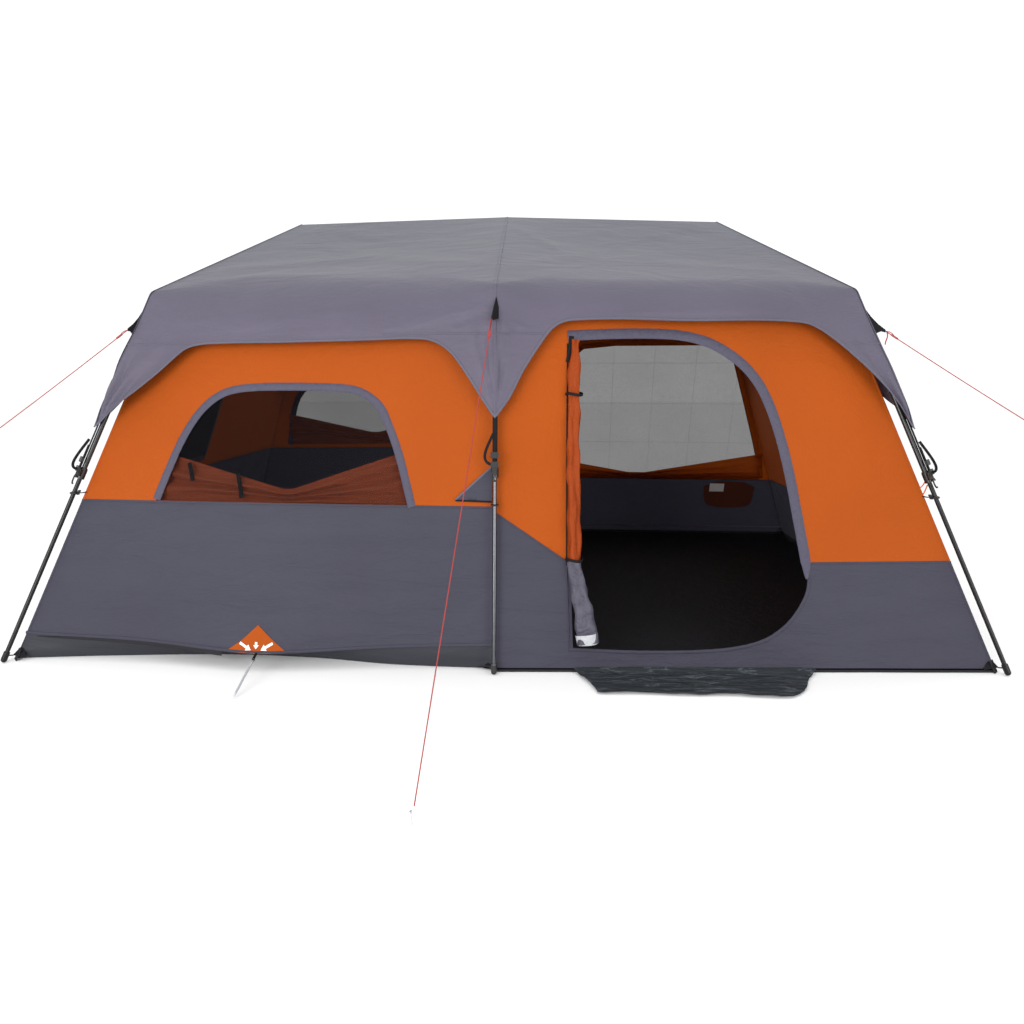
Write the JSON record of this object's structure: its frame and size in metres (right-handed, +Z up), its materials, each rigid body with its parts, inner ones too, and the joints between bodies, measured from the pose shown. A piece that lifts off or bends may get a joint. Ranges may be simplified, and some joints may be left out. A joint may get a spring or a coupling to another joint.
{
  "type": "pop up tent",
  "caption": "Cabin tent whose hubbed roof frame unfolds with its telescoping legs, with a grey fly, orange walls, a D-shaped door, mesh windows and a tub floor",
  "frame": {"origin": "on the ground under the crown hub, at the middle of the groundsheet", "axes": "+Z up, +X to the right seen from the door side, -Y toward the door side"},
  "size_m": [4.6703, 4.1368, 2.162],
  "materials": {
    "hub_plastic": "satin",
    "black_tube": "satin",
    "grey_tube": "satin",
    "button_plastic": "satin",
    "fly_cloth": "matte",
    "wall_cloth": "matte",
    "floor_cloth": "matte",
    "insect_mesh": "matte",
    "guy_cord": "matte",
    "peg_steel": "satin"
  },
  "bodies": {
    "tent": {"crown_hub": "hub_plastic", "fly_front_left": "fly_cloth", "fly_front_right": "fly_cloth", "fly_back_left": "fly_cloth", "fly_back_right": "fly_cloth", "fly_sides": "fly_cloth", "fly_skirt": "fly_cloth", "wall_front_left": "wall_cloth", "wall_front_right": "wall_cloth", "wall_back_left": "wall_cloth", "wall_back_right": "wall_cloth", "wall_sides": "wall_cloth", "tub_rim": "floor_cloth", "mesh_windows": "insect_mesh", "door_panel": "wall_cloth", "storage_pocket": "wall_cloth", "door_mat": "floor_cloth", "vent_peg": "peg_steel", "guy_peg": "peg_steel", "guy_front": "guy_cord", "guy_left": "guy_cord", "guy_right": "guy_cord"},
    "ridge_inner_l": {"ridge_inner_l": "black_tube"},
    "ridge_outer_l": {"ridge_outer_l": "black_tube"},
    "side_hub_l": {"side_hub_l": "hub_plastic"},
    "ridge_inner_r": {"ridge_inner_r": "black_tube"},
    "ridge_outer_r": {"ridge_outer_r": "black_tube"},
    "side_hub_r": {"side_hub_r": "hub_plastic"},
    "arm_inner_fl": {"arm_inner_fl": "black_tube"},
    "arm_outer_fl": {"arm_outer_fl": "black_tube"},
    "leg_upper_fl": {"leg_upper_fl": "black_tube"},
    "leg_lower_fl": {"leg_lower_fl": "grey_tube"},
    "button_fl": {"button_fl": "button_plastic"},
    "arm_inner_fc": {"arm_inner_fc": "black_tube"},
    "arm_outer_fc": {"arm_outer_fc": "black_tube"},
    "leg_upper_fc": {"leg_upper_fc": "black_tube"},
    "leg_lower_fc": {"leg_lower_fc": "grey_tube"},
    "button_fc": {"button_fc": "button_plastic"},
    "arm_inner_fr": {"arm_inner_fr": "black_tube"},
    "arm_outer_fr": {"arm_outer_fr": "black_tube"},
    "leg_upper_fr": {"leg_upper_fr": "black_tube"},
    "leg_lower_fr": {"leg_lower_fr": "grey_tube"},
    "button_fr": {"button_fr": "button_plastic"},
    "arm_inner_bl": {"arm_inner_bl": "black_tube"},
    "arm_outer_bl": {"arm_outer_bl": "black_tube"},
    "leg_upper_bl": {"leg_upper_bl": "black_tube"},
    "leg_lower_bl": {"leg_lower_bl": "grey_tube"},
    "button_bl": {"button_bl": "button_plastic"},
    "arm_inner_bc": {"arm_inner_bc": "black_tube"},
    "arm_outer_bc": {"arm_outer_bc": "black_tube"},
    "leg_upper_bc": {"leg_upper_bc": "black_tube"},
    "leg_lower_bc": {"leg_lower_bc": "grey_tube"},
    "button_bc": {"button_bc": "button_plastic"},
    "arm_inner_br": {"arm_inner_br": "black_tube"},
    "arm_outer_br": {"arm_outer_br": "black_tube"},
    "leg_upper_br": {"leg_upper_br": "black_tube"},
    "leg_lower_br": {"leg_lower_br": "grey_tube"},
    "button_br": {"button_br": "button_plastic"},
    "floor_front": {"floor_front": "floor_cloth"},
    "floor_back": {"floor_back": "floor_cloth"}
  },
  "joints": [
    {"name": "roof_fold", "type": "hinge", "parent": "tent", "child": "ridge_inner_l", "pos_m": [-0.04, 0, 2.122], "axis": [0, -1, 0], "range_deg": [0, 86.21], "deforming": ["fly_front_left", "fly_front_right", "fly_back_left", "fly_back_right", "fly_sides", "fly_skirt", "wall_front_left", "wall_front_right", "wall_back_left", "wall_back_right", "wall_sides", "tub_rim", "mesh_windows", "door_panel", "storage_pocket", "guy_front", "guy_left", "guy_right"]},
    {"name": "ridge_outer_l_knee", "type": "hinge", "parent": "ridge_inner_l", "child": "ridge_outer_l", "pos_m": [-0.58297, 0, 2.11999], "axis": [0, 1, 0], "range_deg": [0, 178.01]},
    {"name": "side_hub_l_level", "type": "hinge", "parent": "ridge_outer_l", "child": "side_hub_l", "pos_m": [-1.125, 0, 2.088], "axis": [0, -1, 0], "range_deg": [0, 91.8]},
    {"name": "ridge_inner_r_fold", "type": "hinge", "parent": "tent", "child": "ridge_inner_r", "pos_m": [0.04, 0, 2.122], "axis": [0, 1, 0], "range_deg": [0, 86.22]},
    {"name": "ridge_outer_r_knee", "type": "hinge", "parent": "ridge_inner_r", "child": "ridge_outer_r", "pos_m": [0.58297, 0, 2.11999], "axis": [0, -1, 0], "range_deg": [0, 178.01]},
    {"name": "side_hub_r_level", "type": "hinge", "parent": "ridge_outer_r", "child": "side_hub_r", "pos_m": [1.125, 0, 2.088], "axis": [0, 1, 0], "range_deg": [0, 91.8]},
    {"name": "arm_inner_fl_fold", "type": "hinge", "parent": "side_hub_l", "child": "arm_inner_fl", "pos_m": [-1.18058, -0.03684, 2.088], "axis": [0.921, -0.3895, 0], "range_deg": [0, 63.78]},
    {"name": "arm_outer_fl_knee", "type": "hinge", "parent": "arm_inner_fl", "child": "arm_outer_fl", "pos_m": [-1.43272, -0.63309, 1.81315], "axis": [-0.921, 0.3895, 0], "range_deg": [0, 178.01]},
    {"name": "leg_upper_fl_elbow", "type": "hinge", "parent": "arm_outer_fl", "child": "leg_upper_fl", "pos_m": [-1.59201, -0.9978, 1.602], "axis": [0.9251, -0.2527, -0.2834], "range_deg": [0, 134.55]},
    {"name": "leg_lower_fl_slide", "type": "slide", "parent": "leg_upper_fl", "child": "leg_lower_fl", "axis": [0.3449, 0.2467, 0.9056], "range_m": [0, 0.74]},
    {"name": "button_fl_press", "type": "slide", "parent": "leg_upper_fl", "child": "button_fl", "axis": [0.159, 0.9355, -0.3154], "range_m": [0, 0.003], "stiffness_N_per_m": 400, "springref_m": -0.002},
    {"name": "arm_inner_fc_fold", "type": "hinge", "parent": "tent", "child": "arm_inner_fc", "pos_m": [0, -0.04, 2.122], "axis": [1, 0, 0], "range_deg": [0, 65.19]},
    {"name": "arm_outer_fc_knee", "type": "hinge", "parent": "arm_inner_fc", "child": "arm_outer_fc", "pos_m": [0, -0.84112, 1.80121], "axis": [-1, 0, 0], "range_deg": [0, 178.01]},
    {"name": "leg_upper_fc_elbow", "type": "hinge", "parent": "arm_outer_fc", "child": "leg_upper_fc", "pos_m": [0, -1.23918, 1.60117], "axis": [1, 0, 0], "range_deg": [0, 121.97]},
    {"name": "leg_lower_fc_slide", "type": "slide", "parent": "leg_upper_fc", "child": "leg_lower_fc", "axis": [0, 0.1589, 0.9873], "range_m": [0, 0.63]},
    {"name": "button_fc_press", "type": "slide", "parent": "leg_upper_fc", "child": "button_fc", "axis": [0, 0.9873, -0.1589], "range_m": [0, 0.003], "stiffness_N_per_m": 400, "springref_m": -0.002},
    {"name": "arm_inner_fr_fold", "type": "hinge", "parent": "side_hub_r", "child": "arm_inner_fr", "pos_m": [1.18058, -0.03684, 2.088], "axis": [0.921, 0.3895, 0], "range_deg": [0, 63.78]},
    {"name": "arm_outer_fr_knee", "type": "hinge", "parent": "arm_inner_fr", "child": "arm_outer_fr", "pos_m": [1.43272, -0.63309, 1.81315], "axis": [-0.921, -0.3895, 0], "range_deg": [0, 178.01]},
    {"name": "leg_upper_fr_elbow", "type": "hinge", "parent": "arm_outer_fr", "child": "leg_upper_fr", "pos_m": [1.59201, -0.9978, 1.602], "axis": [0.9251, 0.2527, 0.2834], "range_deg": [0, 134.55]},
    {"name": "leg_lower_fr_slide", "type": "slide", "parent": "leg_upper_fr", "child": "leg_lower_fr", "axis": [-0.3449, 0.2467, 0.9056], "range_m": [0, 0.74]},
    {"name": "button_fr_press", "type": "slide", "parent": "leg_upper_fr", "child": "button_fr", "axis": [-0.159, 0.9355, -0.3154], "range_m": [0, 0.003], "stiffness_N_per_m": 400, "springref_m": -0.002},
    {"name": "arm_inner_bl_fold", "type": "hinge", "parent": "side_hub_l", "child": "arm_inner_bl", "pos_m": [-1.18058, 0.03684, 2.088], "axis": [-0.921, -0.3895, 0], "range_deg": [0, 63.78]},
    {"name": "arm_outer_bl_knee", "type": "hinge", "parent": "arm_inner_bl", "child": "arm_outer_bl", "pos_m": [-1.43272, 0.63309, 1.81315], "axis": [0.921, 0.3895, 0], "range_deg": [0, 178.01]},
    {"name": "leg_upper_bl_elbow", "type": "hinge", "parent": "arm_outer_bl", "child": "leg_upper_bl", "pos_m": [-1.59201, 0.9978, 1.602], "axis": [-0.9251, -0.2527, 0.2834], "range_deg": [0, 134.55]},
    {"name": "leg_lower_bl_slide", "type": "slide", "parent": "leg_upper_bl", "child": "leg_lower_bl", "axis": [0.3449, -0.2467, 0.9056], "range_m": [0, 0.74]},
    {"name": "button_bl_press", "type": "slide", "parent": "leg_upper_bl", "child": "button_bl", "axis": [0.159, -0.9355, -0.3154], "range_m": [0, 0.003], "stiffness_N_per_m": 400, "springref_m": -0.002},
    {"name": "arm_inner_bc_fold", "type": "hinge", "parent": "tent", "child": "arm_inner_bc", "pos_m": [0, 0.04, 2.122], "axis": [-1, 0, 0], "range_deg": [0, 65.19]},
    {"name": "arm_outer_bc_knee", "type": "hinge", "parent": "arm_inner_bc", "child": "arm_outer_bc", "pos_m": [0, 0.84112, 1.80121], "axis": [1, 0, 0], "range_deg": [0, 178.01]},
    {"name": "leg_upper_bc_elbow", "type": "hinge", "parent": "arm_outer_bc", "child": "leg_upper_bc", "pos_m": [0, 1.23918, 1.60117], "axis": [-1, 0, 0], "range_deg": [0, 121.97]},
    {"name": "leg_lower_bc_slide", "type": "slide", "parent": "leg_upper_bc", "child": "leg_lower_bc", "axis": [0, -0.1589, 0.9873], "range_m": [0, 0.63]},
    {"name": "button_bc_press", "type": "slide", "parent": "leg_upper_bc", "child": "button_bc", "axis": [0, -0.9873, -0.1589], "range_m": [0, 0.003], "stiffness_N_per_m": 400, "springref_m": -0.002},
    {"name": "arm_inner_br_fold", "type": "hinge", "parent": "side_hub_r", "child": "arm_inner_br", "pos_m": [1.18058, 0.03684, 2.088], "axis": [-0.921, 0.3895, 0], "range_deg": [0, 63.78]},
    {"name": "arm_outer_br_knee", "type": "hinge", "parent": "arm_inner_br", "child": "arm_outer_br", "pos_m": [1.43272, 0.63309, 1.81315], "axis": [0.921, -0.3895, 0], "range_deg": [0, 178.01]},
    {"name": "leg_upper_br_elbow", "type": "hinge", "parent": "arm_outer_br", "child": "leg_upper_br", "pos_m": [1.59201, 0.9978, 1.602], "axis": [-0.9251, 0.2527, -0.2834], "range_deg": [0, 134.55]},
    {"name": "leg_lower_br_slide", "type": "slide", "parent": "leg_upper_br", "child": "leg_lower_br", "axis": [-0.3449, -0.2467, 0.9056], "range_m": [0, 0.74]},
    {"name": "button_br_press", "type": "slide", "parent": "leg_upper_br", "child": "button_br", "axis": [-0.159, -0.9355, -0.3154], "range_m": [0, 0.003], "stiffness_N_per_m": 400, "springref_m": -0.002},
    {"name": "floor_front_lift", "type": "hinge", "parent": "leg_upper_fc", "child": "floor_front", "pos_m": [0, -1.464, 0.001], "axis": [1, 0, 0], "range_deg": [0, 93.16], "deforming": ["floor_front"]},
    {"name": "floor_back_lift", "type": "hinge", "parent": "leg_upper_bc", "child": "floor_back", "pos_m": [0, 1.464, 0.001], "axis": [-1, 0, 0], "range_deg": [0, 93.16], "deforming": ["floor_back"]}
  ],
  "couplings": [
    {"joint": "ridge_outer_l_knee", "follows": "roof_fold", "ratio": 2.0648},
    {"joint": "side_hub_l_level", "follows": "roof_fold", "ratio": 1.0648},
    {"joint": "ridge_inner_r_fold", "follows": "roof_fold", "ratio": 1},
    {"joint": "ridge_outer_r_knee", "follows": "roof_fold", "ratio": 2.0648},
    {"joint": "side_hub_r_level", "follows": "roof_fold", "ratio": 1.0648},
    {"joint": "arm_inner_fl_fold", "follows": "roof_fold", "ratio": 0.73979},
    {"joint": "arm_outer_fl_knee", "follows": "roof_fold", "ratio": 2.0648},
    {"joint": "leg_upper_fl_elbow", "follows": "roof_fold", "ratio": 1.5607},
    {"joint": "arm_inner_fc_fold", "follows": "roof_fold", "ratio": 0.75612},
    {"joint": "arm_outer_fc_knee", "follows": "roof_fold", "ratio": 2.0648},
    {"joint": "leg_upper_fc_elbow", "follows": "roof_fold", "ratio": 1.4148},
    {"joint": "arm_inner_fr_fold", "follows": "roof_fold", "ratio": 0.73979},
    {"joint": "arm_outer_fr_knee", "follows": "roof_fold", "ratio": 2.0648},
    {"joint": "leg_upper_fr_elbow", "follows": "roof_fold", "ratio": 1.5607},
    {"joint": "arm_inner_bl_fold", "follows": "roof_fold", "ratio": 0.73979},
    {"joint": "arm_outer_bl_knee", "follows": "roof_fold", "ratio": 2.0648},
    {"joint": "leg_upper_bl_elbow", "follows": "roof_fold", "ratio": 1.5607},
    {"joint": "arm_inner_bc_fold", "follows": "roof_fold", "ratio": 0.75612},
    {"joint": "arm_outer_bc_knee", "follows": "roof_fold", "ratio": 2.0648},
    {"joint": "leg_upper_bc_elbow", "follows": "roof_fold", "ratio": 1.4148},
    {"joint": "arm_inner_br_fold", "follows": "roof_fold", "ratio": 0.73979},
    {"joint": "arm_outer_br_knee", "follows": "roof_fold", "ratio": 2.0648},
    {"joint": "leg_upper_br_elbow", "follows": "roof_fold", "ratio": 1.5607},
    {"joint": "floor_front_lift", "follows": "roof_fold", "ratio": 1.0805},
    {"joint": "floor_back_lift", "follows": "roof_fold", "ratio": 1.0805}
  ]
}
